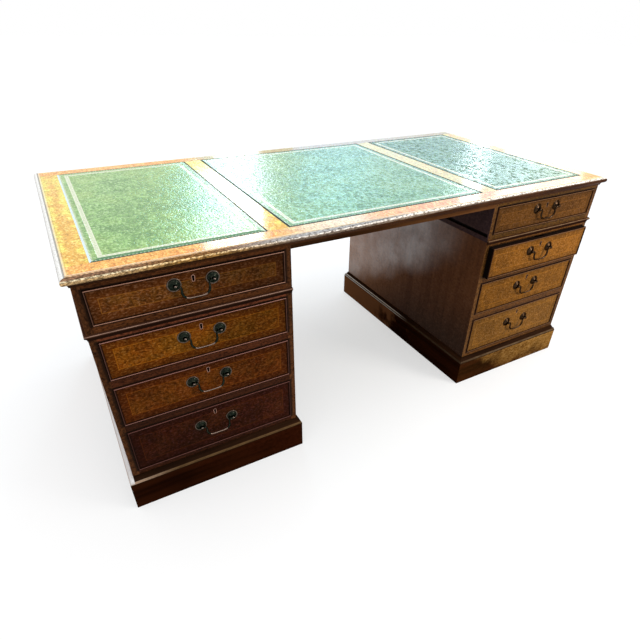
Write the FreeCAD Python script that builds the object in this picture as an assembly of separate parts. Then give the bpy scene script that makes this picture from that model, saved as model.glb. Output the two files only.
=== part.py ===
import FreeCAD, Part
import os

# Pedestal desk: a leather-lined top with a drawer at each end, standing on two
# pedestals of three drawers each. Millimetres. +Z is up, the drawers open
# towards -Y, and the origin is on the floor below the middle of the top.

# Overall size
desk_width = 1830.0
desk_depth = 912.0
desk_height = 762.0

# Top board, its leather and the moulding round its edge
top_thickness = 28.0
top_overhang = 17.0
edge_width = 14.0
edge_step = 2.0
edge_fillet = 5.0
nose_height = 17.0
cove_bow = 1.2
leather_thickness = 1.2
leather_border_ends = 69.0
leather_border_sides = 62.0
leather_rail = 60.0
centre_leather_share = 0.448

# Pedestals and the drawer cases above them
pedestal_width = 528.0
side_thickness = 18.0
back_thickness = 12.0
plinth_height = 96.0
plinth_proud = 15.0
base_moulding_height = 23.0
base_fillet = 3.0
base_lip = 4.5
base_bow = 1.4
waist_height = 17.0
waist_proud = 7.0
waist_fillet = 4.0
waist_round = 9.0
waist_foot = 1.0
waist_cove_bow = 0.8
groove_rise = 8.0
groove_height = 12.0
groove_depth = 8.0
groove_stop = 6.0
bottom_rail_show = 16.0
pedestal_rail_show = 9.0
frieze_rail_show = 18.0
frieze_top_rail = 12.0
drawer_rail = 25.0
rail_depth = 60.0
runner_width = 40.0
bottom_board = 12.0
stop_width = 30.0
stop_depth = 15.0
stop_height = 6.0
stop_spread = 260.0

# How the height left over is shared among the drawers, top to bottom
drawer_shares = {"top": 94.0, "upper": 117.0, "middle": 130.0, "lower": 152.0}

# Drawers
front_thickness = 20.0
front_side_gap = 1.2
front_top_gap = 1.8
front_bottom_gap = 1.0
bead_thickness = 3.5
bead_depth = 14.0
bead_proud = 3.0
bead_bow = 1.2
drawer_length = 600.0
drawer_side = 10.0
drawer_side_drop = 6.0
drawer_back = 9.0
drawer_back_drop = 12.0
drawer_bottom = 6.0
drawer_bottom_rise = 9.0

# How far a drawer stands open when the joints are at rest
ajar = {"right_upper": 18.0}

# Swan-neck handles
pull_spacing = 96.0
pull_rise = 14.0
rosette_radius = 18.0
rosette_edge_height = 1.0
rosette_rim_height = 1.6
rosette_rim_width = 2.5
rosette_bevel = 0.9
rosette_hollow_height = 1.0
rosette_ring_radius = 11.9
rosette_ring_height = 1.3
rosette_shoulder_radius = 9.0
rosette_shoulder_height = 3.75
rosette_dome_radius = 6.5
rosette_dome_height = 5.0
post_reach = 13.0
post_neck_radius = 4.0
post_ball_radius = 5.5
post_shank_radius = 3.0
post_hole_clearance = 0.2
nut_radius = 6.5
nut_thickness = 4.0
bail_radius = 3.2
bail_pin_radius = 2.5
bail_pin_clearance = 0.06
bail_end_gap = 0.4
bail_drop = 37.0
bail_lead = 2.0
bail_top_bend = 8.0
bail_bottom_bend = 14.0
bail_lean = 10.0

# Locks and keyholes
key_below_opening = 21.0
key_round_radius = 3.2
key_slot_width = 3.4
key_slot_length = 12.0
escutcheon_wall = 1.3
escutcheon_depth = 4.0
escutcheon_proud = 0.4
lock_width = 46.0
lock_height = 48.0
bolt_width = 22.0
bolt_thickness = 4.5
bolt_height = 38.0
bolt_notch_width = 12.0
bolt_notch_height = 26.0
bolt_travel = 8.0
bolt_clearance = 0.3
bolt_inset = 1.5
mortise_clearance = 0.6

Vec = FreeCAD.Vector

# Levels worked out from the floor upwards
case_half_depth = desk_depth / 2 - top_overhang
case_front = -case_half_depth
case_outer = desk_width / 2 - top_overhang
pedestal_middle = case_outer - pedestal_width / 2
opening_width = pedestal_width - 2 * side_thickness
base_top = plinth_height + base_moulding_height
fixed_below = base_top + bottom_rail_show + 2 * drawer_rail + pedestal_rail_show
fixed_above = waist_height + frieze_rail_show + frieze_top_rail + top_thickness
drawer_room = desk_height - fixed_below - fixed_above
share_sum = sum(drawer_shares.values())
opening_height = {level: drawer_room * share / share_sum for level, share in drawer_shares.items()}
opening_floor = {}
opening_floor["lower"] = base_top + bottom_rail_show
opening_floor["middle"] = opening_floor["lower"] + opening_height["lower"] + drawer_rail
opening_floor["upper"] = opening_floor["middle"] + opening_height["middle"] + drawer_rail
waist_floor = opening_floor["upper"] + opening_height["upper"] + pedestal_rail_show
waist_top = waist_floor + waist_height
opening_floor["top"] = waist_top + frieze_rail_show
case_joint = (waist_floor + waist_top) / 2
top_underside = desk_height - top_thickness


def box(x0, x1, y0, y1, z0, z1):
    return Part.makeBox(x1 - x0, y1 - y0, z1 - z0, Vec(x0, y0, z0))


def profile_face(points):
    """Moulding section from clockwise (out, up) points; a third value bows the edge that ends there."""
    edges = []
    start = Vec(0, -points[-1][0], points[-1][1])
    for point in points:
        end = Vec(0, -point[0], point[1])
        if len(point) == 3:
            along = end.sub(start).normalize()
            middle = start.add(end).multiply(0.5)
            middle = middle.add(Vec(0, along.z, -along.y).multiply(point[2]))
            edges.append(Part.Arc(start, middle, end).toShape())
        else:
            edges.append(Part.makeLine(start, end))
        start = end
    return Part.Face(Part.Wire(edges))


def mitred_lengths(points, half_x, half_y, middle_x):
    """Four lengths of a moulding mitred round a rectangle, front, right, back, left."""
    section = profile_face(points)
    bounds = section.BoundBox
    reach = -bounds.YMin
    inner = -bounds.YMax
    lengths = []
    for turn, (half_length, offset) in enumerate([(half_x, half_y), (half_y, half_x)] * 2):
        end = half_length + reach
        bar = section.copy()
        bar.translate(Vec(-end, -offset, 0))
        bar = bar.extrude(Vec(2 * end, 0, 0))
        spare = reach - inner
        near = half_length + inner - spare
        far = end + spare
        plan = [(-far, -offset - reach - spare), (far, -offset - reach - spare)]
        plan += [(near, -offset - inner + spare), (-near, -offset - inner + spare)]
        corners = [Vec(x, y, bounds.ZMin) for x, y in plan]
        mitre = Part.Face(Part.makePolygon(corners + corners[:1])).extrude(Vec(0, 0, bounds.ZLength))
        piece = bar.common(mitre).Solids[0]
        piece.rotate(Vec(0, 0, 0), Vec(0, 0, 1), 90 * turn)
        piece.translate(Vec(middle_x, 0, 0))
        lengths.append(piece)
    return lengths


def turned(points):
    """Piece turned about the Y axis from (radius, forward) points."""
    outline = [Vec(radius, -forward, 0) for radius, forward in points]
    face = Part.Face(Part.makePolygon(outline + outline[:1]))
    return face.revolve(Vec(0, 0, 0), Vec(0, 1, 0), 360)


def save(name, solids):
    Part.makeCompound(solids).exportStep("parts/" + name + ".step")


def build_top():
    """Top board with a shallow bed cut for each leather, its edge moulding and the kneehole rail."""
    half_x = desk_width / 2 - edge_width
    half_y = desk_depth / 2 - edge_width
    board = box(-half_x, half_x, -half_y, half_y, top_underside, desk_height)
    leather_end = desk_width / 2 - leather_border_ends
    leather_run = 2 * leather_end - 2 * leather_rail
    centre_half = leather_run * centre_leather_share / 2
    bed_half = desk_depth / 2 - leather_border_sides
    bed_floor = desk_height - leather_thickness
    spans = {"left": (-leather_end, -centre_half - leather_rail)}
    spans["centre"] = (-centre_half, centre_half)
    spans["right"] = (centre_half + leather_rail, leather_end)
    for name, (x0, x1) in spans.items():
        leather = box(x0, x1, -bed_half, bed_half, bed_floor, desk_height)
        board = board.cut(leather)
        save("leather_" + name, [leather])
    save("top_board", board.Solids)

    nose_top = desk_height - edge_step
    nose_foot = nose_top - nose_height
    edge = [(0, top_underside, -cove_bow), (0, nose_top), (edge_fillet, nose_top)]
    edge.append((edge_fillet, nose_foot, edge_width - edge_fillet))
    save("top_edge_moulding", mitred_lengths(edge, half_x, half_y, 0))

    # A shallow rail under the front edge carries the line of the drawer cases across the kneehole
    kneehole_half = pedestal_middle - pedestal_width / 2
    rail_floor = top_underside - frieze_top_rail
    rail_back = case_front + rail_depth
    rail = box(-kneehole_half, kneehole_half, case_front, rail_back, rail_floor, top_underside)
    save("kneehole_rail", [rail])


def rail_level(middle_x, floor, top, takes_bolt=False):
    """A front rail with a bearer along each side behind it; a rail over a drawer takes its lock bolt."""
    half = opening_width / 2
    x0, x1 = middle_x - half, middle_x + half
    rail_back = case_front + rail_depth
    bearer_back = case_half_depth - back_thickness
    rail = box(x0, x1, case_front, rail_back, floor, top)
    if takes_bolt:
        bolt_x = bolt_width / 2 + mortise_clearance
        y0 = case_front + bead_depth - bead_proud + bolt_inset - mortise_clearance
        y1 = y0 + bolt_thickness + 2 * mortise_clearance
        rail = rail.cut(box(middle_x - bolt_x, middle_x + bolt_x, y0, y1, floor, floor + bolt_travel))
    left = box(x0, x0 + runner_width, rail_back, bearer_back, floor, top)
    right = box(x1 - runner_width, x1, rail_back, bearer_back, floor, top)
    return [rail, left, right]


def drawer_stops(middle_x, floor):
    """Two blocks glued to a rail, which the shut drawer front meets."""
    front = case_front + front_thickness
    blocks = []
    for way in (-1, 1):
        x0 = middle_x + way * stop_spread / 2 - stop_width / 2
        blocks.append(box(x0, x0 + stop_width, front, front + stop_depth, floor, floor + stop_height))
    return blocks


def build_case(side, middle_x):
    """Pedestal, plinth, mouldings and the drawer case of the top, on one side of the kneehole."""
    half = pedestal_width / 2
    inner = opening_width / 2
    back_face = case_half_depth - back_thickness
    ceilings = {level: opening_floor[level] + opening_height[level] for level in opening_floor}
    outward = 1 if middle_x > 0 else -1
    kneehole_x = middle_x - outward * half

    sides = []
    frieze = []
    for x0 in (middle_x - half, middle_x + inner):
        x1 = x0 + side_thickness
        sides.append(box(x0, x1, case_front, case_half_depth, plinth_height, case_joint))
        frieze.append(box(x0, x1, case_front, case_half_depth, case_joint, top_underside))
    save(side + "_pedestal_sides", sides)

    # A dark groove runs back along the kneehole side, above the joint
    groove_x = sorted([kneehole_x, kneehole_x + outward * groove_depth])
    groove_z = waist_top + groove_rise
    groove = box(*groove_x, case_front + groove_stop, case_half_depth, groove_z, groove_z + groove_height)
    frieze = [board.cut(groove).Solids[0] for board in frieze]

    x0, x1 = middle_x - inner, middle_x + inner
    save(side + "_pedestal_back", [box(x0, x1, back_face, case_half_depth, plinth_height, case_joint)])

    rails = rail_level(middle_x, plinth_height, opening_floor["lower"])
    rails += rail_level(middle_x, ceilings["lower"], opening_floor["middle"], True)
    rails += rail_level(middle_x, ceilings["middle"], opening_floor["upper"], True)
    rails += rail_level(middle_x, ceilings["upper"], case_joint, True)
    for level in ("lower", "middle", "upper"):
        rails += drawer_stops(middle_x, opening_floor[level])
    bottom_front = case_front + rail_depth
    bottom_half = inner - runner_width
    bottom_top = plinth_height + bottom_board
    bottom = box(-bottom_half, bottom_half, bottom_front, back_face, plinth_height, bottom_top)
    bottom.translate(Vec(middle_x, 0, 0))
    rails.append(bottom)
    save(side + "_pedestal_framing", rails)

    frieze.append(box(x0, x1, back_face, case_half_depth, case_joint, top_underside))
    frieze += rail_level(middle_x, case_joint, opening_floor["top"])
    frieze += rail_level(middle_x, ceilings["top"], top_underside, True)
    frieze += drawer_stops(middle_x, opening_floor["top"])
    save(side + "_frieze_case", frieze)

    plinth = [(-side_thickness, 0), (-side_thickness, plinth_height)]
    plinth += [(plinth_proud, plinth_height), (plinth_proud, 0)]
    save(side + "_plinth", mitred_lengths(plinth, half, case_half_depth, middle_x))

    lip_top = plinth_height + base_lip
    bend_out = (base_fillet + plinth_proud) / 2
    bend_up = (lip_top + base_top) / 2
    base = [(0, plinth_height), (0, base_top), (base_fillet, base_top)]
    base.append((bend_out, bend_up, -base_bow))
    base.append((plinth_proud - base_fillet / 2, lip_top, base_bow))
    base += [(plinth_proud, lip_top), (plinth_proud, plinth_height)]
    save(side + "_base_moulding", mitred_lengths(base, half, case_half_depth, middle_x))

    round_foot = waist_top - waist_round
    waist = [(0, waist_floor), (0, waist_top), (waist_fillet, waist_top)]
    waist.append((waist_fillet, round_foot, waist_proud - waist_fillet))
    waist.append((waist_foot, waist_floor, -waist_cove_bow))
    # The waist runs along the front, the outer side and the back, and stops flush at the kneehole
    waist_x = sorted([kneehole_x, middle_x + outward * (half + waist_proud)])
    waist_y = case_half_depth + waist_proud
    kept = box(*waist_x, -waist_y, waist_y, waist_floor, waist_top)
    front, right, back, left = mitred_lengths(waist, half, case_half_depth, middle_x)
    runs = [front, right if outward > 0 else left, back]
    save(side + "_waist_moulding", [run.common(kept).Solids[0] for run in runs])


def keyhole(x, z, grow, y0, y1):
    """Keyhole-shaped plug from y0 to y1, every edge grown outwards."""
    radius = key_round_radius + grow
    half = key_slot_width / 2 + grow
    plug = Part.makeCylinder(radius, y1 - y0, Vec(x, y0, z), Vec(0, 1, 0))
    slot = box(x - half, x + half, y0, y1, z - key_slot_length - grow, z)
    return plug.fuse(slot).removeSplitter()


def cock_beads(x0, x1, z0, z1, front):
    """Four mitred strips round a drawer front, standing proud of it with a rounded nose."""
    back = bead_depth - bead_proud
    middle_x = (x0 + x1) / 2
    half_width = (x1 - x0) / 2 - bead_thickness
    half_height = (z1 - z0) / 2 - bead_thickness
    section = [(0, -back), (0, bead_proud - bead_bow), (bead_thickness, bead_proud - bead_bow, bead_bow)]
    section.append((bead_thickness, -back))
    strips = mitred_lengths(section, half_width, half_height, 0)
    for strip in strips:
        strip.rotate(Vec(0, 0, 0), Vec(1, 0, 0), 90)
        strip.translate(Vec(middle_x, front, (z0 + z1) / 2))
    return strips


def build_bail(middle_x, front, z):
    """Swan-neck bail hanging from its two posts, with a pin at each end."""
    y = front - post_reach
    start = pull_spacing / 2 - post_ball_radius - bail_end_gap

    def swung(vector, degrees):
        return FreeCAD.Rotation(Vec(0, 1, 0), -degrees).multVec(vector)

    # One half of the curve: in from the post, over and down the neck, then under into the grip
    end = Vec(start, y, z)
    neck_top = Vec(start - bail_lead, y, z)
    turn = 90 + bail_lean
    bend = neck_top - Vec(0, 0, bail_top_bend)
    over = bend + swung(Vec(0, 0, bail_top_bend), turn / 2)
    neck = bend + swung(Vec(0, 0, bail_top_bend), turn)
    heading = swung(Vec(-1, 0, 0), turn)
    spoke = swung(Vec(bail_bottom_bend, 0, 0), bail_lean)
    fall = neck.z - (z - bail_drop + bail_bottom_bend + spoke.z)
    neck_foot = neck + heading * (fall / -heading.z)
    bend = neck_foot - spoke
    under = bend + swung(spoke, -turn / 2)
    grip = bend - Vec(0, 0, bail_bottom_bend)
    half = [Part.makeLine(end, neck_top), Part.Arc(neck_top, over, neck).toShape()]
    half += [Part.makeLine(neck, neck_foot), Part.Arc(neck_foot, under, grip).toShape()]
    other = [edge.mirror(Vec(0, 0, 0), Vec(1, 0, 0)) for edge in half]
    middle = [Part.makeLine(grip, Vec(-grip.x, grip.y, grip.z))]
    spine = Part.Wire(Part.__sortEdges__(half + middle + other))
    ring = Part.Wire(Part.makeCircle(bail_radius, end, Vec(-1, 0, 0)))
    bail = spine.makePipeShell([ring], True, False)
    pin_length = pull_spacing / 2 + post_ball_radius - start
    for way in (-1, 1):
        pin = Part.makeCylinder(bail_pin_radius, pin_length, Vec(way * start, y, z), Vec(way, 0, 0))
        bail = bail.fuse(pin)
    bail.translate(Vec(middle_x, 0, 0))
    return bail.Solids[0]


def build_post(x, front, z):
    """Turned post with a ball end, drilled across for the bail's pin."""
    tail = front_thickness + nut_thickness
    post = Part.makeCylinder(post_shank_radius, tail, Vec(x, front, z), Vec(0, 1, 0))
    neck = Part.makeCylinder(post_neck_radius, post_reach, Vec(x, front - post_reach, z), Vec(0, 1, 0))
    ball = Part.makeSphere(post_ball_radius, Vec(x, front - post_reach, z))
    bore = bail_pin_radius + bail_pin_clearance
    eye_start = Vec(x - post_ball_radius, front - post_reach, z)
    eye = Part.makeCylinder(bore, 2 * post_ball_radius, eye_start, Vec(1, 0, 0))
    return post.fuse([neck, ball]).removeSplitter().cut(eye).Solids[0]


def build_rosette(x, front, z):
    """Round stepped plate under a post: raised rim, hollow ring and domed middle."""
    hole = post_neck_radius + post_hole_clearance
    rim_in = rosette_radius - rosette_rim_width
    points = [(hole, 0), (rosette_radius, 0), (rosette_radius, rosette_edge_height)]
    points += [(rosette_radius - rosette_bevel, rosette_rim_height), (rim_in, rosette_rim_height)]
    points += [(rim_in - rosette_bevel, rosette_hollow_height), (rosette_ring_radius, rosette_ring_height)]
    points.append((rosette_shoulder_radius, rosette_shoulder_height))
    points += [(rosette_dome_radius, rosette_dome_height), (hole, rosette_dome_height)]
    plate = turned(points)
    plate.translate(Vec(x, front, z))
    return plate


def build_drawer(name, middle_x, level):
    """One drawer with its box, handle and lock."""
    front = case_front - ajar.get(name, 0.0)
    floor = opening_floor[level]
    ceiling = floor + opening_height[level]
    half = opening_width / 2 - front_side_gap
    x0, x1 = middle_x - half, middle_x + half
    z0, z1 = floor + front_bottom_gap, ceiling - front_top_gap
    back = front + front_thickness
    seat = front + bead_depth - bead_proud
    key_z = ceiling - key_below_opening
    pull_z = (floor + ceiling) / 2 + pull_rise
    pull_xs = [middle_x - pull_spacing / 2, middle_x + pull_spacing / 2]

    # Lock, let into the back of the front, with a way cut up through it for the bolt
    case_half = lock_width / 2
    lock = box(middle_x - case_half, middle_x + case_half, seat, back, z1 - lock_height, z1)
    way_half = bolt_width / 2 + bolt_clearance
    bolt_y0 = seat + bolt_inset
    bolt_y1 = bolt_y0 + bolt_thickness
    way_y0, way_y1 = bolt_y0 - bolt_clearance, bolt_y1 + bolt_clearance
    bolt_floor = z1 - bolt_height
    bolt_way = box(middle_x - way_half, middle_x + way_half, way_y0, way_y1, bolt_floor, z1)
    key_way = keyhole(middle_x, key_z, 0.0, front - bead_proud, bolt_y1)
    lock_hollow = lock.copy()
    lock = lock.cut([bolt_way, key_way])
    bolt = box(middle_x - bolt_width / 2, middle_x + bolt_width / 2, bolt_y0, bolt_y1, bolt_floor, z1)
    notch = bolt_notch_width / 2
    notch_top = bolt_floor + bolt_notch_height
    bolt = bolt.cut(box(middle_x - notch, middle_x + notch, bolt_y0, bolt_y1, bolt_floor, notch_top))
    save(name + "_lock_bolt", bolt.Solids)

    # Front board, rebated for the cock beads and cut for the lock, keyhole and handle posts
    board = box(x0, x1, seat, back, z0, z1)
    bead = bead_thickness
    field = box(x0 + bead, x1 - bead, front, seat, z0 + bead, z1 - bead)
    board = board.fuse(field).removeSplitter()
    rim = keyhole(middle_x, key_z, escutcheon_wall, front - escutcheon_proud, front + escutcheon_depth)
    holes = [lock_hollow, key_way, rim]
    for x in pull_xs:
        hole_radius = post_shank_radius + post_hole_clearance
        holes.append(Part.makeCylinder(hole_radius, front_thickness, Vec(x, front, pull_z), Vec(0, 1, 0)))
    board = board.cut(holes)
    save(name + "_drawer_front", board.Solids + cock_beads(x0, x1, z0, z1, front))

    # Box: two sides, a back between them and a bottom that runs out under the back
    tail = back + drawer_length
    side_top = z1 - drawer_side_drop
    bottom_z0 = floor + drawer_bottom_rise
    bottom_z1 = bottom_z0 + drawer_bottom
    inside = (x0 + drawer_side, x1 - drawer_side)
    left = box(x0, inside[0], back, tail, floor, side_top)
    right = box(inside[1], x1, back, tail, floor, side_top)
    end = box(inside[0], inside[1], tail - drawer_back, tail, bottom_z1, side_top - drawer_back_drop)
    bottom = box(inside[0], inside[1], back, tail, bottom_z0, bottom_z1)
    save(name + "_drawer_box", [left, right, end, bottom])

    # Fixed metalwork: two rosettes, posts and nuts, the keyhole rim and the lock
    fittings = [rim.cut(key_way).Solids[0], lock.Solids[0]]
    for x in pull_xs:
        fittings.append(build_rosette(x, front, pull_z))
        fittings.append(build_post(x, front, pull_z))
        nut = Part.makeCylinder(nut_radius, nut_thickness, Vec(x, back, pull_z), Vec(0, 1, 0))
        core = Part.makeCylinder(post_shank_radius, nut_thickness, Vec(x, back, pull_z), Vec(0, 1, 0))
        fittings.append(nut.cut(core))
    save(name + "_fittings", fittings)

    save(name + "_bail", [build_bail(middle_x, front, pull_z)])


os.makedirs("parts", exist_ok=True)
build_top()
for side, way in (("left", -1), ("right", 1)):
    build_case(side, way * pedestal_middle)
    for level in drawer_shares:
        build_drawer(side + "_" + level, way * pedestal_middle, level)
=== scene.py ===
from math import pi, radians

import bpy
from mathutils import Matrix, Vector


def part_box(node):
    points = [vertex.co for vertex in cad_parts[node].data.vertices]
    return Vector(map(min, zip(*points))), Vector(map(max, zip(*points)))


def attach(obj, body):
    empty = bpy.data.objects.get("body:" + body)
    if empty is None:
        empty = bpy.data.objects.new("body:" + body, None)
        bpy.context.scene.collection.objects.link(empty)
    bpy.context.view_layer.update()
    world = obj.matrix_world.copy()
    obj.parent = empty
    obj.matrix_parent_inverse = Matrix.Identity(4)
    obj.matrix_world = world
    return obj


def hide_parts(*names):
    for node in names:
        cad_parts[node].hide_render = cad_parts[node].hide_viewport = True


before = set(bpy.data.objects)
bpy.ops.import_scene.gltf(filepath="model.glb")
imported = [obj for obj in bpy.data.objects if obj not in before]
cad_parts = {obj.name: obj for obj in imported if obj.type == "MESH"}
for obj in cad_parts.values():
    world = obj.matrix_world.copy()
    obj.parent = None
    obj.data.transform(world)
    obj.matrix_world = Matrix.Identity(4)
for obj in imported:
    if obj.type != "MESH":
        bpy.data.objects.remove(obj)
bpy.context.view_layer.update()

bpy.ops.object.select_all(action="DESELECT")

# Camera
# A wide lens held high at the left end of the desk, turned along the front and down,
# so that the top fills the view and the uprights draw together towards the floor.
scene = bpy.context.scene
camera = bpy.data.objects.new("camera", bpy.data.cameras.new("camera"))
scene.collection.objects.link(camera)
camera.location = (-0.87248, -1.51988, 1.22775)
tilt, roll, swing = 54.0815, -1.3283, -29.8230
camera.rotation_euler = (radians(tilt), radians(roll), radians(swing))
camera.data.lens = 26.802
camera.data.shift_x = -0.0215
camera.data.shift_y = 0.0600
scene.camera = camera
scene.view_settings.view_transform = "Standard"

# Studio
# A pale floor under an even white sky. Soft lamps behind the desk shine along the
# polished top, one high lamp lights it from above, and a broad one fills the fronts.


def fill(node, sockets):
    """Give inputs a value or another node's output; colours are told as red, green, blue."""
    for name, value in sockets.items():
        socket = node.inputs[name]
        if isinstance(value, bpy.types.NodeSocket):
            node.id_data.links.new(value, socket)
        elif socket.type == "RGBA":
            socket.default_value = (*value, 1)
        else:
            socket.default_value = value


def add_node(tree, kind, sockets, **settings):
    """One shader node, set up and filled."""
    made = tree.nodes.new("ShaderNode" + kind)
    for name, value in settings.items():
        setattr(made, name, value)
    fill(made, sockets)
    return made


def seen_directly(tree):
    """1 for rays from the camera, off polish and through glass, and 0 for scattered light."""
    path = add_node(tree, "LightPath", {}).outputs
    shown = path["Is Camera Ray"]
    for kind in ("Is Glossy Ray", "Is Transmission Ray"):
        shown = add_node(tree, "Math", {0: shown, 1: path[kind]}, operation="MAXIMUM").outputs[0]
    return shown


sky = bpy.data.worlds.new("studio_sky")
scene.world = sky
sky.use_nodes = True
tree = sky.node_tree
tree.nodes.clear()
dim = add_node(tree, "Background", {"Color": (0.96, 0.98, 1.0), "Strength": 0.50}).outputs[0]
white = add_node(tree, "Background", {"Color": (1, 1, 1), "Strength": 1.0}).outputs[0]
surface = add_node(tree, "MixShader", {0: seen_directly(tree), 1: dim, 2: white}).outputs[0]
add_node(tree, "OutputWorld", {"Surface": surface})

bpy.ops.mesh.primitive_plane_add(size=60, location=(0, 0, 0))
floor = bpy.context.object
floor.name = "studio_floor"
floor_paint = bpy.data.materials.new("floor_paint")
floor_paint.use_nodes = True
tree = floor_paint.node_tree
tree.nodes.clear()
pale = add_node(tree, "BsdfDiffuse", {"Color": (0.96, 0.96, 0.96)}).outputs[0]
glow = add_node(tree, "Emission", {"Color": (1, 1, 1), "Strength": 1.0}).outputs[0]
seen = add_node(tree, "MixShader", {0: 0.55, 1: pale, 2: glow}).outputs[0]
dim = add_node(tree, "BsdfDiffuse", {"Color": (0.30, 0.28, 0.26)}).outputs[0]
surface = add_node(tree, "MixShader", {0: seen_directly(tree), 1: dim, 2: seen}).outputs[0]
add_node(tree, "OutputMaterial", {"Surface": surface})
floor.data.materials.append(floor_paint)


def hang_lamp(name, kind, power, shining):
    """A lamp that shines the way told."""
    lamp = bpy.data.objects.new(name, bpy.data.lights.new(name, kind))
    scene.collection.objects.link(lamp)
    lamp.data.energy = power
    lamp.rotation_euler = shining.to_track_quat("-Z", "Y").to_euler()
    return lamp


hang_lamp("high_lamp", "SUN", 2.0, Vector((-0.03, 0.03, -1.0))).data.angle = 1.2
all_round = pi
cool = (0.80, 0.93, 1.0)
# For each: its place, what it is aimed at, width, height, power, colour and spread
for name, place, aim, width, height, power, colour, spread in (
        ("back_lamp_high", (0.70, 3.2, 1.98), (-0.4, -0.1, 0.76),
         0.56, 0.66, 14, (0.66, 0.90, 1.0), all_round),
        ("back_lamp_edge", (0.37, 3.2, 1.95), (-0.4, -0.1, 0.76),
         0.10, 0.62, 2.0, (0.14, 0.78, 1.0), all_round),
        ("back_lamp_low", (0.78, 3.2, 1.47), (-0.2, 0.25, 0.76),
         0.40, 0.36, 2.6, cool, all_round),
        ("back_lamp_middle", (1.85, 3.2, 1.98), (-0.15, -0.3, 0.76),
         0.8, 0.5, 3.2, (0.35, 0.85, 1.0), all_round),
        ("back_lamp_narrow", (2.90, 2.12, 1.60), (0.6, -0.1, 0.76),
         0.15, 1.0, 3.4, cool, all_round),
        ("back_lamp_right", (3.37, 1.70, 1.50), (0.8, -0.2, 0.76),
         0.75, 0.8, 4.6, cool, all_round),
        ("back_lamp_broad", (3.35, 3.7, 2.17), (0.4, 0.0, 0.76),
         3.25, 1.25, 19, (0.12, 0.4, 1.0), all_round),
        ("front_lamp", (1.9, -2.3, 1.3), (0.65, -0.44, 0.4),
         1.0, 1.0, 8, (1.0, 0.96, 0.90), 1.2)):
    lamp = hang_lamp(name, "AREA", power, Vector(aim) - Vector(place))
    lamp.data.shape = "RECTANGLE"
    lamp.data.size = width
    lamp.data.size_y = height
    lamp.data.color = colour
    lamp.data.spread = spread
    lamp.location = place
    lamp.visible_camera = False

# Plinths and mouldings
# Each pedestal stands on four mahogany boards mitred at the corners, planted on the
# carcass and capped with an ogee moulding. A smaller moulding covers the joint at the
# waist. All are stained a deep red-brown.


def tree_of(*values):
    """The node tree of the first socket among the values."""
    return next(value.id_data for value in values if isinstance(value, bpy.types.NodeSocket))


def link(value, socket):
    socket.id_data.links.new(value, socket)


def mixed(share, first, second, blend="MIX"):
    """The colour that is share of the way from first to second."""
    sockets = {0: share, 6: first, 7: second}
    tree = tree_of(*sockets.values())
    return add_node(tree, "Mix", sockets, data_type="RGBA", blend_type=blend).outputs[2]


def chosen(share, first, second):
    """The vector that is share of the way from first to second."""
    sockets = {0: share, 4: first, 5: second}
    return add_node(share.id_data, "Mix", sockets, data_type="VECTOR").outputs[1]


def maths(operation, first, second=0.0):
    tree = tree_of(first, second)
    return add_node(tree, "Math", {0: first, 1: second}, operation=operation).outputs[0]


def times(first, *others):
    for other in others:
        first = maths("MULTIPLY", first, other)
    return first


def plus(first, *others):
    for other in others:
        first = maths("ADD", first, other)
    return first


def minus(first, second):
    return maths("SUBTRACT", first, second)


def step(value, low, high, start=0.0, end=1.0):
    """A soft step from start to end while value goes from low to high."""
    sockets = {0: value, 1: low, 2: high, 3: start, 4: end}
    return add_node(
        value.id_data, "MapRange", sockets, interpolation_type="SMOOTHSTEP").outputs[0]


def between(value, low, high, soft):
    """1 while value lies between low and high, fading to 0 over soft on either side."""
    return times(
        step(value, low - soft, low + soft), step(value, high - soft, high + soft, 1.0, 0.0))


def noise(vector, scale, detail=3.0, rough=0.55, warp=0.0):
    return add_node(vector.id_data, "TexNoise", {
        "Vector": vector, "Scale": scale, "Detail": detail, "Roughness": rough,
        "Distortion": warp}).outputs[0]


def vector_maths(operation, sockets):
    return add_node(sockets[0].id_data, "VectorMath", sockets, operation=operation).outputs[0]


def stretch(vector, factors):
    return vector_maths("MULTIPLY", {0: vector, 1: factors})


def shifted(vector, offset):
    return vector_maths("ADD", {0: vector, 1: offset})


def split(vector):
    return add_node(vector.id_data, "SeparateXYZ", {0: vector}).outputs


def effect(name, takes, gives):
    """An empty node group; returns it, the sockets it takes and the sockets it gives."""
    group = bpy.data.node_groups.new(name, "ShaderNodeTree")
    for way, sockets in (("INPUT", takes), ("OUTPUT", gives)):
        for socket, kind in sockets.items():
            group.interface.new_socket(socket, in_out=way, socket_type="NodeSocket" + kind)
    given = group.nodes.new("NodeGroupOutput").inputs
    return group, group.nodes.new("NodeGroupInput").outputs, given


# Straight-grained timber: the grain runs along the vector's X
timber, takes, gives = effect(
    "timber_grain",
    {"Vector": "Vector", "Pale": "Color", "Deep": "Color", "Pores": "Float"},
    {"Color": "Color", "Tone": "Float", "Height": "Float"})
streaks = noise(stretch(takes["Vector"], (1.6, 34, 34)), 1.0, 5, 0.62, 0.7)
clouds = noise(takes["Vector"], 4.5, 3, 0.5)
tone = step(plus(times(streaks, 0.65), times(clouds, 0.35)), 0.36, 0.64)
pores = step(noise(stretch(takes["Vector"], (22, 620, 620)), 1.0, 2), 0.53, 0.70)
pores = times(pores, takes["Pores"])
grain = mixed(tone, takes["Deep"], takes["Pale"])
link(mixed(pores, grain, (0.012, 0.005, 0.003)), gives["Color"])
link(tone, gives["Tone"])
link(minus(1.0, pores), gives["Height"])

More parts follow.
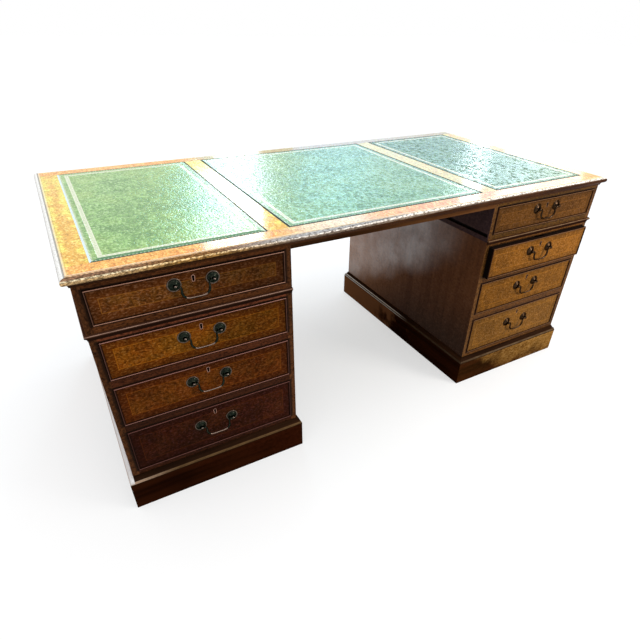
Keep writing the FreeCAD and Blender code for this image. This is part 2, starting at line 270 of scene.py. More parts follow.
# The fine wear of an old finish: pale flecks added to a colour and dark pits taken from it
wear_marks, takes, gives = effect(
    "fine_wear",
    {"Vector": "Vector", "Color": "Color", "Fleck": "Color", "Pits": "Float"},
    {"Color": "Color"})
fine = noise(takes["Vector"], 1.0, 1, 0.5, 0.8)
marked = mixed(step(fine, 0.50, 0.72), takes["Color"], takes["Fleck"], "ADD")
pitted = times(step(fine, 0.50, 0.28), takes["Pits"])
link(mixed(pitted, marked, (0.22, 0.14, 0.08), "MULTIPLY"), gives["Color"])

# A rectangle lying in the vector's XY plane, told by its half sizes: how far in from
# its nearest edge a point is, and the vector with X running along or across that edge
outline, takes, gives = effect(
    "mitred_outline",
    {"Vector": "Vector", "Half X": "Float", "Half Y": "Float"},
    {"Edge": "Float", "Along": "Float", "Beside": "Float",
     "Lengthwise": "Vector", "Crosswise": "Vector", "Forward": "Float"})
x, y, z = split(takes["Vector"])
gap_x = minus(takes["Half X"], maths("ABSOLUTE", x))
gap_y = minus(takes["Half Y"], maths("ABSOLUTE", y))
beside = maths("LESS_THAN", gap_x, gap_y)
swapped = add_node(outline, "CombineXYZ", {0: y, 1: x, 2: z}).outputs[0]
lengthwise = chosen(beside, takes["Vector"], swapped)
link(maths("MINIMUM", gap_x, gap_y), gives["Edge"])
link(split(lengthwise)[0], gives["Along"])
link(beside, gives["Beside"])
link(lengthwise, gives["Lengthwise"])
link(chosen(beside, swapped, takes["Vector"]), gives["Crosswise"])
link(z, gives["Forward"])


def place_effect(group, sockets):
    made = tree_of(*sockets.values()).nodes.new("ShaderNodeGroup")
    made.node_tree = group
    fill(made, sockets)
    return made.outputs


def grained(vector, pale, deep, pores):
    return place_effect(timber, {"Vector": vector, "Pale": pale, "Deep": deep, "Pores": pores})


def weathered(vector, colour, fleck, pits):
    sockets = {"Vector": vector, "Color": colour, "Fleck": fleck, "Pits": pits}
    return place_effect(wear_marks, sockets)["Color"]


def outlined(vector, half_x, half_y):
    return place_effect(outline, {"Vector": vector, "Half X": half_x, "Half Y": half_y})


def new_finish(name, specular):
    """A new material; returns it, its shader and its coordinates."""
    material = bpy.data.materials.new(name)
    material.use_nodes = True
    shader = material.node_tree.nodes["Principled BSDF"]
    fill(shader, {"Specular IOR Level": specular})
    return material, shader, add_node(material.node_tree, "TexCoord", {}).outputs["Object"]


def paint(shader, colour, rough):
    link(colour, shader.inputs["Base Color"])
    link(rough, shader.inputs["Roughness"])


def bump(shader, height, strength, distance):
    sockets = {"Height": height, "Strength": strength, "Distance": distance}
    link(add_node(height.id_data, "Bump", sockets).outputs[0], shader.inputs["Normal"])


def dress(material, *names):
    for name in names:
        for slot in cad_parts[name].material_slots:
            slot.material = material


# Each pedestal, measured from its own middle
middle_of = {"left": -0.634, "right": 0.634}
case_half = 0.264
case_depth = 0.439
plinth_proud = 0.015
plinth_half = case_half + plinth_proud
plinth_depth = case_depth + plinth_proud


def pedestal_timber(name, side, rough, pale, deep):
    """Timber mitred round a pedestal: its material, shader, colour, place from the
    pedestal's middle, and place on the desk."""
    material, shader, place = new_finish(name, 0.0)
    centred = shifted(place, (-middle_of[side], 0, 0))
    board = outlined(centred, plinth_half, plinth_depth)
    grain = grained(board["Lengthwise"], pale, deep, 0.2)
    paint(shader, grain["Color"], step(grain["Tone"], 0.0, 1.0, rough + 0.08, rough - 0.05))
    bump(shader, grain["Height"], 0.15, 0.0004)
    return material, shader, grain["Color"], split(centred), place


# The kicked and polished front of each plinth is paler towards one end, partly wear and partly
# painted light, far paler on the right pedestal; the back half of the side in the kneehole is
# painted brown, a painted sheen
for side, pale_patch_tone, wear_and_light in (
        ("left", (0.036, 0.007, 0.002), 0.6), ("right", (0.28, 0.135, 0.030), 0.95)):
    material, shader, skin, (x, y, z), place = pedestal_timber(
        side + "_plinth_timber", side, 0.42, (0.040, 0.010, 0.003), (0.011, 0.003, 0.001))
    # Paler patch on the front: partly wear, partly painted light
    along = plus(x, times(z, 2.6), step(noise(place, 9.0, 4), 0.3, 0.7, -0.14, 0.14))
    front = step(y, 0.0005 - plinth_depth, 0.0002 - plinth_depth)
    worn_and_lit = times(step(along, -0.06, 0.40, 0.04, wear_and_light), front)
    fleck = (pale_patch_tone[0] * 0.4, pale_patch_tone[1] * 0.6, pale_patch_tone[2] * 1.2)
    skin = mixed(worn_and_lit, skin, weathered(stretch(place, (90, 90, 150)), pale_patch_tone, fleck, 0.7))
    flank = step(maths("ABSOLUTE", x), plinth_half - 0.0005, plinth_half - 0.0002)
    # Painted sheen: brown over the back half of the kneehole side
    brown = plus(y, step(noise(place, 14.0, 4), 0.3, 0.7, -0.10, 0.10))
    brown = times(step(brown, -0.04, 0.10, 0.0, 0.9), flank)
    link(mixed(brown, skin, (0.24, 0.102, 0.042)), shader.inputs["Base Color"])
    dress(material, side + "_plinth")

# The ogee is dark but for a painted highlight along the foot of its curve, and painted
# white glare along it on the side that faces the daylight
for side, highlight_tone, dim_tone, glare_tone in (
        ("left", (0.52, 0.36, 0.25), (0.155, 0.088, 0.038), (0.88, 0.85, 0.84)),
        ("right", (0.075, 0.046, 0.026), (0.13, 0.082, 0.045), (0.66, 0.61, 0.57))):
    material, shader, skin, (x, y, z), place = pedestal_timber(
        side + "_base_moulding_timber", side, 0.35, (0.040, 0.016, 0.007), (0.014, 0.006, 0.003))
    # Painted highlight along the foot of the curve
    crest = between(z, 0.0992, 0.1062, 0.0010)
    broken = step(noise(stretch(place, (1, 1, 4)), 22.0, 4), 0.30, 0.62, 0.55, 1.0)
    tone = mixed(step(x, -0.27, -0.13), highlight_tone, dim_tone)
    skin = mixed(times(crest, broken), skin, tone)
    # Painted glare on the left-facing runs: along the left pedestal's outer run, in two lines at
    # the back of the right one's kneehole run
    if side == "left":
        painted_glare = times(step(z, 0.1000, 0.1015, 0.0, 0.95), step(y, 0.0, 0.25, 1.0, 0.0))
    else:
        lines = maths(
            "MAXIMUM", between(z, 0.0985, 0.1020, 0.0006), between(z, 0.1065, 0.1095, 0.0006))
        painted_glare = times(lines, step(y, -0.10, 0.02))
    glare_side = step(x, -0.2665, -0.2645, 1.0, 0.0)
    skin = mixed(times(painted_glare, glare_side), skin, glare_tone)
    link(skin, shader.inputs["Base Color"])
    dress(material, side + "_base_moulding")

# The waist is dark too, with a painted highlight line along the round and painted shade low down
for side, highlight_tone in (("left", (0.44, 0.27, 0.20)), ("right", (0.26, 0.165, 0.085))):
    material, shader, skin, (_, _, z), place = pedestal_timber(
        side + "_waist_moulding_timber", side, 0.35, (0.075, 0.030, 0.016), (0.034, 0.013, 0.008))
    crest = between(z, 0.6066, 0.6084, 0.0004)
    broken = step(noise(stretch(place, (1, 1, 4)), 30.0, 4), 0.30, 0.62, 0.5, 1.0)
    # Painted shade: the lower part darkened nearly to black
    skin = mixed(step(z, 0.6015, 0.6045, 0.7, 0.0), skin, (0.014, 0.006, 0.004))
    link(mixed(times(crest, broken), skin, highlight_tone), shader.inputs["Base Color"])
    dress(material, side + "_waist_moulding")

# Pedestals and drawer cases
# Mahogany sides, upright grain, held apart by rails and backed with a panel. The
# polish is still bright high up and dull where feet and brooms have rubbed it.


def scaled(colour, factor):
    return vector_maths("SCALE", {0: colour, "Scale": factor})


def turn(vector, degrees, move=(0, 0, 0)):
    sockets = {"Vector": vector, "Rotation": [radians(a) for a in degrees], "Location": move}
    return add_node(vector.id_data, "Mapping", sockets).outputs[0]


opening_half = 0.246
rail_face = -0.434
back_face = 0.429
waist = 0.602
groove_low, groove_high = 0.6178, 0.6302
skin_deep = 0.0003
grime_and_shade_tone = (0.010, 0.004, 0.002)
levels = ("top", "upper", "middle", "lower")
for side, inwards, level_tone, upright_tone, grime_and_shade_reach, lit_strip_gain in (
        ("left", 0.01, (0.104, 0.030, 0.011), (0.100, 0.036, 0.012), 0.0085, (1.9, 1.9, 2.2)),
        ("right", -0.01, (0.100, 0.038, 0.008), (0.115, 0.048, 0.012), 0.0030, (1.4, 1.4, 1.4))):
    material, shader, place = new_finish(side + "_case_timber", 0.04)
    fill(shader, {"Coat IOR": 2.0, "Coat Roughness": 0.28})
    x, y, z = split(shifted(place, (-middle_of[side], 0, 0)))
    across = maths("ABSOLUTE", x)
    on_end = turn(place, (0, 90, 0))
    level_tone, upright_tone = Vector(level_tone), Vector(upright_tone)
    panel = grained(on_end, (0.172, 0.067, 0.026), (0.120, 0.044, 0.018), 0.1)["Color"]
    level = grained(place, level_tone * 1.25, level_tone * 0.6, 0.3)
    upright = grained(on_end, upright_tone * 1.25, upright_tone * 0.6, 0.3)
    # Sides: in the kneehole painted paler at the back as a painted sheen, and nearly black low down
    # towards the front and above the waist as painted shade
    kneehole_side = step(x, 0.0, inwards)
    flank = step(across, case_half - 2 * skin_deep, case_half - skin_deep)
    # Painted sheen towards the back of the kneehole side
    panel_skin = mixed(step(y, -0.10, 0.42, 0.0, 0.7), panel, (0.52, 0.22, 0.08))
    # Painted shade low down towards the front
    low_down = minus(z, step(y, -0.44, 0.30, 0.16, 0.0))
    panel_skin = mixed(step(low_down, -0.02, 0.29, 0.88, 0.0), panel_skin, (0.026, 0.011, 0.006))
    # Painted shade on the case above the waist
    above_waist = step(z, waist - 0.0005, waist + 0.0005)
    panel_skin = mixed(above_waist, panel_skin, (0.062, 0.034, 0.038))
    panel_skin = mixed(kneehole_side, panel, panel_skin)
    scuffs = stretch(place, (90, 90, 120))
    panel_skin = weathered(scuffs, panel_skin, (0.022, 0.014, 0.009), 0.30)
    knocks = stretch(place, (150, 150, 130))
    post_skin = weathered(knocks, upright["Color"], upright_tone * 0.55, 0.8)
    skin = mixed(flank, post_skin, panel_skin)
    # Front rails and uprights: on the left pedestal the rails are darker low down, painted shade;
    # a strip under the waist is paler, painted light; the rails are golden above the waist, with
    # grime and painted shade beside the drawers
    front = step(y, rail_face + 0.001, rail_face - 0.001)
    rail = times(step(across, opening_half + 0.0002, opening_half - 0.0002), front)
    level_skin = weathered(stretch(place, (110, 260, 260)), level["Color"], level_tone * 0.55, 0.8)
    # On the left pedestal, painted shade makes the rails darker low down
    if side == "left":
        level_skin = scaled(level_skin, step(z, 0.30, 0.60, 0.45, 1.15))
    # Painted light: a paler strip just under the waist
    lit_strip = between(z, 0.583, 0.594, 0.002)
    level_skin = mixed(lit_strip, level_skin, lit_strip_gain, "MULTIPLY")
    level_skin = mixed(step(z, 0.600, 0.603), level_skin, (1.0, 1.14, 0.9), "MULTIPLY")
    skin = mixed(rail, skin, level_skin)
    # Grime and painted shade beside the drawer openings, reaching further on the left pedestal
    beside = 0.0
    for level_name in levels:
        low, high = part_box(side + "_" + level_name + "_drawer_front")
        beside = maths("MAXIMUM", between(z, low.z - 0.0035, high.z + 0.0045, 0.0015), beside)
    grime_and_shade_edge = opening_half + 0.002
    beside = times(beside, step(across, grime_and_shade_edge, grime_and_shade_edge + grime_and_shade_reach, 1.0, 0.0))
    skin = mixed(times(beside, front, 0.88), skin, grime_and_shade_tone)
    # Bare pine inside, and painted shade in the groove along the kneehole
    inside = times(
        step(across, opening_half + 0.0006, opening_half + 0.0002),
        step(y, rail_face - 0.001, rail_face + 0.001),
        step(y, back_face + 0.0002, back_face - 0.0005))
    skin = mixed(inside, skin, (0.20, 0.115, 0.055))
    # Painted shade: the groove painted nearly black
    groove = times(
        between(across, 0.2500, 0.2632, 0.0002), between(z, groove_low, groove_high, 0.0003),
        step(y, rail_face - 0.0005, rail_face + 0.0005), kneehole_side)
    skin = mixed(groove, skin, (0.004, 0.003, 0.003))
    paint(shader, skin, step(upright["Tone"], 0.0, 1.0, 0.5, 0.38))
    # French polish still bright high up and towards the back
    rise = plus(z, times(y, 0.56), step(noise(place, 5.0, 2), 0.3, 0.7, -0.02, 0.02))
    polish = times(
        step(rise, 0.27, 0.39), step(y, -0.42, -0.05, 0.08, 1.0),
        step(z, waist - 0.001, waist, 1.0, 0.0),
        step(noise(place, 13.0, 4, 0.6), 0.30, 0.70, 0.56, 1.0), kneehole_side)
    polish = maths("MAXIMUM", polish, step(kneehole_side, 0.0, 1.0, 0.06, 0.0))
    link(times(polish, flank), shader.inputs["Coat Weight"])
    bump(shader, upright["Height"], 0.1, 0.0004)
    for piece in ("pedestal_sides", "pedestal_back", "frieze_case", "pedestal_framing"):
        dress(material, side + "_" + piece)

# Kneehole rail
# A shallow mahogany rail glued under the front edge of the top between the two cases,
# stained and polished to match their rails.
material, shader, place = new_finish("kneehole_rail_timber", 0.0)
grain = grained(place, (0.150, 0.062, 0.022), (0.070, 0.026, 0.009), 0.35)
# Painted shade: darker towards the left end
skin = scaled(grain["Color"], step(split(place)[0], -0.32, 0.25, 0.36, 1.1))
paint(shader, skin, step(grain["Tone"], 0.0, 1.0, 0.48, 0.36))
dress(material, "kneehole_rail")

# Top board
# A flat board banded with golden veneer laid across the grain of each edge, with two
# bands between the beds of the leathers.
top_half_x = 0.901
top_half_y = 0.442
leather_half_y = 0.394
material, shader, place = new_finish("top_veneer", 0.3)
x, y, _ = split(place)
board = outlined(place, top_half_x, top_half_y)
front_back = step(maths("ABSOLUTE", y), leather_half_y - 0.0003, leather_half_y + 0.0003)
across = chosen(front_back, shifted(place, (3, 0, 0)), turn(place, (0, 0, 90), (0, 5, 0)))
across = stretch(across, (9, 2.4, 1))
end_band = grained(across, (0.93, 0.92, 0.15), (0.86, 0.60, 0.045), 0.1)
long_band = grained(across, (0.98, 0.50, 0.10), (0.82, 0.30, 0.035), 0.1)
# The end bands turn from yellow to orange towards the front and along their two edges
amber = plus(
    step(y, -0.36, 0.20, 0.60, 0.0), step(noise(place, 26.0, 4, 0.6), 0.35, 0.65, -0.60, 0.60),
    between(board["Edge"], 0.018, 0.038, 0.012))
end_skin = mixed(step(amber, -0.1, 1.1, 0.85, 0.0), (0.82, 0.43, 0.045), end_band["Color"])
# The band to the right of the middle leather has bleached to straw
straw = times(
    between(x, 0.30, 0.46, 0.01), step(noise(place, 22.0, 4, 0.6), 0.30, 0.66, 1.0, 0.45))
end_skin = mixed(straw, end_skin, (0.66, 0.53, 0.11))
banding = mixed(front_back, end_skin, long_band["Color"])
# The front border carries painted glare in one place, and most of the back border has faded
bed_edge = leather_half_y - 0.001
border_edge = leather_half_y + 0.002
# Painted glare: a pale patch on the front border
painted_glare = times(step(y, -bed_edge, -border_edge), between(x, -0.36, -0.12, 0.06), 0.5)
banding = mixed(painted_glare, banding, (0.84, 0.78, 0.56))
faded = times(step(y, bed_edge, border_edge), step(x, -0.42, -0.30, 0.0, 0.75))
banding = mixed(faded, banding, (0.34, 0.31, 0.12))
banding = weathered(stretch(place, (190, 120, 120)), banding, (0.08, 0.30, 0.16), 0.48)
# Pale along the outer edge, with a dark seam inside it at the two ends
banding = mixed(step(board["Edge"], 0.0030, 0.0045, 0.65, 0.0), banding, (0.92, 0.78, 0.56))
seam = times(between(board["Edge"], 0.0052, 0.0066, 0.0004), board["Beside"], 0.5)
banding = mixed(seam, banding, (0.42, 0.27, 0.12))
paint(shader, banding, step(end_band["Tone"], 0.0, 1.0, 0.17, 0.11))
bump(shader, noise(place, 30.0, 3), 0.08, 0.002)
dress(material, "top_board")

# Edge moulding
# Four lengths of thumb moulding mitred round the board: a flat fillet, a round nose and
# a cove. A painted highlight runs along the nose, gold at one end and turning to painted white
# reflection at the other, over painted shade low on the nose and in the cove.
edge_half_x = 0.915
edge_half_y = 0.456
material, shader, place = new_finish("nose_timber", 0.02)
fill(shader, {"Coat Weight": 0.04, "Coat Roughness": 0.2})
x, _, z = split(place)
board = outlined(place, edge_half_x, edge_half_y)
white_glare = step(x, -0.60, -0.34)
golden = step(x, -0.82, -0.66)
nicks = noise(stretch(board["Lengthwise"], (120, 220, 220)), 1.0, 2, 0.6)
shade = grained(board["Lengthwise"], (0.085, 0.028, 0.006), (0.032, 0.009, 0.002), 0.3)["Color"]
# A painted highlight runs along the nose, climbing towards the right-hand end
above = minus(z, step(x, -0.36, 0.20, 0.7551, 0.7598))


def nose_tone(first, gold, white_end):
    """A tone that turns from the left-hand end's to gold, and then to the painted white reflection.
    """
    return mixed(white_glare, mixed(golden, first, gold), white_end)


# Under it a painted lit brown is soon lost in the painted shade of the lower nose and cove
lit_flank_tone = nose_tone((0.84, 0.56, 0.27), (0.54, 0.29, 0.080), (0.31, 0.237, 0.177))
lit_flank_from = plus(step(x, -0.80, -0.62, -0.0110, -0.0078), step(x, 0.0, 0.36, 0.0, 0.0040))
nose_paint = mixed(step(minus(above, lit_flank_from), -0.0008, 0.0022), shade, lit_flank_tone)
# Over it lies a dull strip, darkest beside the line: grime on the crown, painted pale grey
# reflection towards the right-hand end
valley = nose_tone((0.26, 0.142, 0.080), (0.24, 0.115, 0.036), (0.47, 0.47, 0.47))
nose_paint = mixed(step(above, 0.0006, 0.0016), nose_paint, valley)
dull_line = times(between(above, 0.0014, 0.0030, 0.0005), white_glare, 0.8)
nose_paint = mixed(dull_line, nose_paint, (0.30, 0.30, 0.31))
bright = nose_tone((1.0, 0.84, 0.56), (1.0, 0.70, 0.34), (1.0, 0.93, 0.84))
shine = times(between(above, -0.0018, 0.0015, 0.0004), step(nicks, 0.36, 0.54, 0.35, 1.0))
nose_paint = mixed(shine, nose_paint, bright)
# The fillet is pale beside the board, painted grey-white reflection towards the right-hand end, and
# dark in the angle where it meets the nose
on_top = step(z, 0.7585, 0.7592)
fillet_tone = mixed(white_glare, (0.86, 0.64, 0.42), (0.74, 0.72, 0.69))
nose_paint = mixed(times(step(board["Edge"], 0.0118, 0.0130), on_top), nose_paint, fillet_tone)
# At the two ends the nose carries painted white glare, between a dark line and a brown edge in
# painted shade
painted_glare = mixed(step(z, 0.7535, 0.7560), (0.40, 0.28, 0.16), (0.92, 0.91, 0.88))
seam = times(step(board["Edge"], 0.0094, 0.0106), on_top, 0.8)
painted_glare = mixed(seam, painted_glare, (0.30, 0.29, 0.26))
painted_glare = mixed(step(z, 0.7470, 0.7515, 1.0, 0.0), painted_glare, shade)
nose_paint = mixed(board["Beside"], nose_paint, painted_glare)
# Grit and nicks all along it, fewest at the ends
grit = noise(stretch(board["Lengthwise"], (170, 420, 420)), 1.0, 2, 0.6)
gritty = minus(1.0, maths("MAXIMUM", board["Beside"], times(white_glare, 0.5)))
grit_gain = {0: gritty, 2: 1.0, 3: step(grit, 0.36, 0.64, 0.45, 1.6)}
nose_paint = scaled(nose_paint, add_node(material.node_tree, "Mix", grit_gain).outputs[0])
nicked = times(step(nicks, 0.51, 0.38, 0.0, 0.62), step(board["Beside"], 0.0, 1.0, 1.0, 0.3))
paint(shader, mixed(nicked, nose_paint, shade), step(nicks, 0.3, 0.7, 0.42, 0.26))
bump(shader, nicks, 0.12, 0.0008)
dress(material, "top_edge_moulding")

# Leathers
# Three skivers of green hide let into the top, wheel-tooled in gold round the edge:
# a dog-tooth at the rim, a plain dark margin, and a broad patterned band.
tooth_half = 0.0045
lozenge_half = 0.0055
band_outer, band_middle, band_inner = 0.0205, 0.0262, 0.0320
tooled, takes, gives = effect(
    "tooled_hide",
    {"Vector": "Vector", "Edge": "Float", "Along": "Float", "Lit": "Float", "Front": "Float",
     "Fine": "Vector", "Tint": "Vector", "Fleck": "Color", "Wear": "Float", "Dull": "Float",
     "Lip": "Float"},
    {"Color": "Color", "Roughness": "Float", "Height": "Float"})
vector, edge, along, in_front = (takes[name] for name in ("Vector", "Edge", "Along", "Front"))
# Hide: mottled green with paler and darker patches, creased and rubbed; the pale ridge flecks are
# partly painted glints
mottle = noise(stretch(vector, (1.0, 0.6, 1.0)), 46.0, 5, 0.66, 0.9)
patches = noise(vector, 7.0, 4, 0.6)
creases = noise(takes["Fine"], 1.0, 1, 0.5, 0.6)
field = mixed(step(mottle, 0.36, 0.64), (0.125, 0.30, 0.068), (0.28, 0.55, 0.165))
field = mixed(step(patches, 0.46, 0.64, 0.0, 0.6), field, (0.33, 0.52, 0.130))
field = mixed(step(patches, 0.48, 0.34, 0.0, 0.5), field, (0.105, 0.27, 0.065))
dents = times(step(creases, 0.50, 0.28), takes["Wear"])
field = mixed(dents, field, (0.040, 0.13, 0.022))
ridges = times(step(creases, 0.51, 0.74), takes["Wear"])
field = stretch(mixed(ridges, field, takes["Fleck"]), takes["Tint"])
margin = step(edge, band_outer - 0.0005, band_outer + 0.0005, 1.0, 0.0)
margin = times(margin, plus(0.08, times(in_front, 0.72)))
field = mixed(margin, field, (0.045, 0.15, 0.075))
# Gold: the dog-tooth at the rim, and the band of lozenges inside the margin
tooth = plus(0.0025, times(maths("PINGPONG", along, tooth_half), 1.9))
rim = times(maths("LESS_THAN", edge, tooth), step(in_front, 0.0, 1.0, 1.0, 0.5))
band = between(edge, band_outer, band_inner, 0.0004)
middle_off = maths("ABSOLUTE", minus(edge, band_middle))
lozenge = plus(maths("PINGPONG", along, lozenge_half), middle_off)
stamp = between(lozenge, 0.0024, 0.0038, 0.0004)
gold = maths("MAXIMUM", minus(band, times(stamp, 0.75)), rim)
gold = times(gold, step(noise(vector, 240.0, 3, 0.6), 0.30, 0.50, 0.45, 1.0))
field = mixed(gold, field, (0.80, 0.82, 0.62))
# Lip: the cut edge in its bed, painted dark as shade in its gap, but for the one that faces the
# light, which carries a painted highlight
lip = step(minus(edge, takes["Lip"]), 0.0, 0.0010, 1.0, 0.0)
lip_tone = mixed(takes["Lit"], (0.012, 0.026, 0.024), (0.66, 0.82, 0.90))
link(mixed(lip, field, lip_tone), gives["Color"])
pebble = add_node(tooled, "TexVoronoi", {"Vector": vector, "Scale": 620.0}, feature="SMOOTH_F1")
hide = plus(times(pebble.outputs["Distance"], 0.2), plus(creases, times(mottle, 0.8)))
link(minus(hide, times(gold, 0.25)), gives["Height"])
polish = plus(times(creases, 0.65), times(mottle, 0.35))
gloss = plus(0.08, times(step(polish, 0.54, 0.38), takes["Dull"]))
gloss = maths("MAXIMUM", gloss, times(margin, 0.8))
dull_lip = times(lip, minus(1.0, takes["Lit"]), 0.95)
link(maths("MAXIMUM", gloss, dull_lip), gives["Roughness"])

# Fleck is the tone of the rubbed crease ridges; the bluish flecks on the centre and right hides are
# painted glints
for name, tint, rate, fleck, wear_and_light, dull, soiled, lip in (
        ("left", (1.02, 1.01, 0.88), 165, (0.56, 0.84, 0.42), 0.64, 0.22, 1.0, 0.0044),
        ("centre", (0.72, 0.82, 0.74), 120, (0.52, 0.82, 0.60), 0.80, 0.26, 0.40, 0.0066),
        ("right", (0.41, 0.55, 0.41), 90, (0.54, 0.86, 0.62), 1.1, 0.40, 0.40, 0.0066)):
    low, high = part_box("leather_" + name)
    middle = (low + high) / 2
    half = (high - low) / 2
    material, shader, place = new_finish("leather_" + name + "_hide", 0.5)
    centred = shifted(place, (-middle.x, -middle.y, 0))
    board = outlined(centred, half.x, half.y)
    x, y, _ = split(centred)
    lit = times(board["Beside"], maths("LESS_THAN", x, 0.0)) if name == "left" else 0.0
    in_front = times(minus(1.0, board["Beside"]), maths("LESS_THAN", y, 0.0), soiled)
    skin = place_effect(tooled, {
        "Vector": place, "Edge": board["Edge"], "Along": board["Along"], "Lit": lit,
        "Front": in_front, "Fine": stretch(place, (rate, rate * 0.7, rate)), "Tint": tint,
        "Fleck": fleck, "Wear": wear_and_light, "Dull": dull, "Lip": lip})
    paint(shader, skin["Color"], skin["Roughness"])
    bump(shader, skin["Height"], 0.7, 0.0016)
    dress(material, "leather_" + name)

# Drawer fronts
# Each front is a board veneered with burr walnut inside a dark crossbanding and a
# fine string line, with a rounded cock bead let in all round its edge.
burr, takes, gives = effect(
    "burr_figure",
    {"Vector": "Vector", "Pale": "Color", "Deep": "Color", "Ruddy": "Float"},
    {"Color": "Color", "Tone": "Float"})
vector = takes["Vector"]
warp = add_node(burr, "TexNoise", {"Vector": vector, "Scale": 13.0, "Detail": 3.0}).outputs[1]
warp = shifted(warp, (-0.5, -0.5, -0.5))
wild = shifted(vector, stretch(warp, (0.06, 0.06, 0.06)))
swirl = noise(wild, 60.0, 8, 0.76, 0.7)
pool = noise(vector, 7.0, 3, 0.55)
tone = step(plus(times(swirl, 0.62), times(pool, 0.38)), 0.40, 0.61)
wood = mixed(tone, takes["Deep"], takes["Pale"])
# Dark contour lines of the burr's curly grain, ruddy patches and small dark eyes
curl = maths("PINGPONG", noise(wild, 30.0, 1, 0.5), 0.035)
wood = mixed(step(curl, 0.0, 0.016, 0.75, 0.0), wood, takes["Deep"])
ruddy = step(noise(shifted(vector, (4, 1, 2)), 12.0, 4, 0.6), 0.36, 0.66)
wood = mixed(times(ruddy, takes["Ruddy"]), wood, (1.0, 0.68, 0.80), "MULTIPLY")
eyes = add_node(burr, "TexVoronoi", {"Vector": wild, "Scale": 90.0}, feature="SMOOTH_F1")
eyes = step(eyes.outputs["Distance"], 0.10, 0.34, 1.0, 0.0)
eyes = times(eyes, step(noise(vector, 15.0, 2), 0.48, 0.62), 0.55)
link(mixed(eyes, wood, takes["Deep"]), gives["Color"])
link(tone, gives["Tone"])

bead = 0.0036
bead_proud = 0.003
crossband = 0.0265
# For each front: the burr's pale tone, which also carries painted light and shade from front
# to front, how painted light changes from left to right, and the beads' painted highlight tone
fronts = {
    "left_top": ((0.30, 0.112, 0.016), (1.02, 0.46), (0.62, 0.33, 0.23)),
    "left_upper": ((0.40, 0.135, 0.008), (0.90, 0.54), (0.55, 0.27, 0.21)),
    "left_middle": ((0.235, 0.068, 0.006), (0.90, 0.74), (0.44, 0.21, 0.17)),
    "left_lower": ((0.085, 0.022, 0.005), (0.76, 1.0), (0.24, 0.10, 0.085)),
    "right_top": ((0.186, 0.072, 0.012), (0.80, 1.0), (0.24, 0.118, 0.052)),
    "right_upper": ((0.325, 0.122, 0.014), (0.92, 1.02), (0.24, 0.118, 0.052)),
    "right_middle": ((0.278, 0.107, 0.012), (0.95, 1.06), (0.24, 0.118, 0.052)),
    "right_lower": ((0.268, 0.112, 0.016), (0.94, 1.10), (0.24, 0.118, 0.052))}


def on_left(name):
    return name.startswith("left")


for seed, (name, (pale, light_across, bead_highlight_tone)) in enumerate(fronts.items()):
    low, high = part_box(name + "_drawer_front")
    middle = (low + high) / 2
    half = (high - low) / 2
    pale = Vector(pale)
    # The left-hand fronts have darker, redder figure and crossbanding, more wear, and a wider
    # painted shade along the beads
    if on_left(name):
        deep, ruddy, shade_haze_share, glint, pits, rates = (
            pale * 0.32, 0.8, 0.30, 1.0, 0.56, (130, 250, 130))
        cross_pale = Vector((pale.x * 0.60, pale.y * 0.44, pale.z * 0.5))
    else:
        deep, ruddy, shade_haze_share, glint, pits, rates = (
            pale * 0.50, 0.0, 0.12, 0.7, 0.44, (150, 200, 150))
        cross_pale = pale * 0.85
    material, shader, place = new_finish(name + "_veneer", 0.02)
    local = turn(place, (-90, 0, 0), (-middle.x, -middle.z, low.y + bead_proud))
    board = outlined(local, half.x, half.z)
    edge = board["Edge"]
    field = place_effect(burr, {
        "Vector": shifted(local, (seed * 1.7, seed * 0.9, 0)), "Pale": pale, "Deep": deep,
        "Ruddy": ruddy})
    crosswise = shifted(stretch(board["Crosswise"], (5, 1.5, 1)), (seed * 2.3, 0, 0))
    cross = grained(crosswise, cross_pale, cross_pale * 0.6, 0.2)
    skin = mixed(
        step(edge, crossband - 0.0008, crossband + 0.0008), cross["Color"], field["Color"])
    fleck = Vector((pale.x * 0.46, pale.y * 0.70, pale.z * 2.4 + 0.005)) * glint
    skin = weathered(stretch(local, rates), skin, fleck, pits)
    string = times(between(edge, crossband - 0.0009, crossband + 0.0009, 0.0003), 0.48)
    skin = mixed(string, skin, pale * 1.7)
    # Painted light changes from one end to the other, and grime and painted shade lie along the
    # beads
    skin = scaled(skin, step(split(local)[0], -0.22, 0.22, *light_across))
    shade_haze = step(edge, bead, bead + 0.026, shade_haze_share, 0.0)
    grime_and_shade = maths("MAXIMUM", shade_haze, step(edge, bead, bead + 0.0045, 0.9, 0.0))
    skin = mixed(grime_and_shade, skin, grime_and_shade_tone)
    # Cock bead: nearly black, its upper and lower lengths carrying a painted highlight along the
    # crest
    rounded = step(edge, bead - 0.0003, bead + 0.0001, 1.0, 0.0)
    strip = grained(board["Lengthwise"], (0.040, 0.014, 0.008), (0.018, 0.006, 0.004), 0.2)
    crest = times(
        between(edge, 0.0008, 0.0026, 0.0003), step(board["Beside"], 0.0, 1.0, 1.0, 0.2))
    skin = mixed(rounded, skin, mixed(crest, strip["Color"], bead_highlight_tone))
    # Edges painted near black, partly stain and partly painted shade, and the plain back of the
    # board
    skin = mixed(step(board["Forward"], -0.0012, -0.0004, 1.0, 0.0), skin, (0.008, 0.005, 0.004))
    skin = mixed(step(board["Forward"], -0.0196, -0.0186, 1.0, 0.0), skin, (0.15, 0.070, 0.030))
    paint(shader, skin, step(field["Tone"], 0.0, 1.0, 0.46, 0.34))
    bump(shader, field["Tone"], 0.06, 0.0006)
    dress(material, name + "_drawer_front")

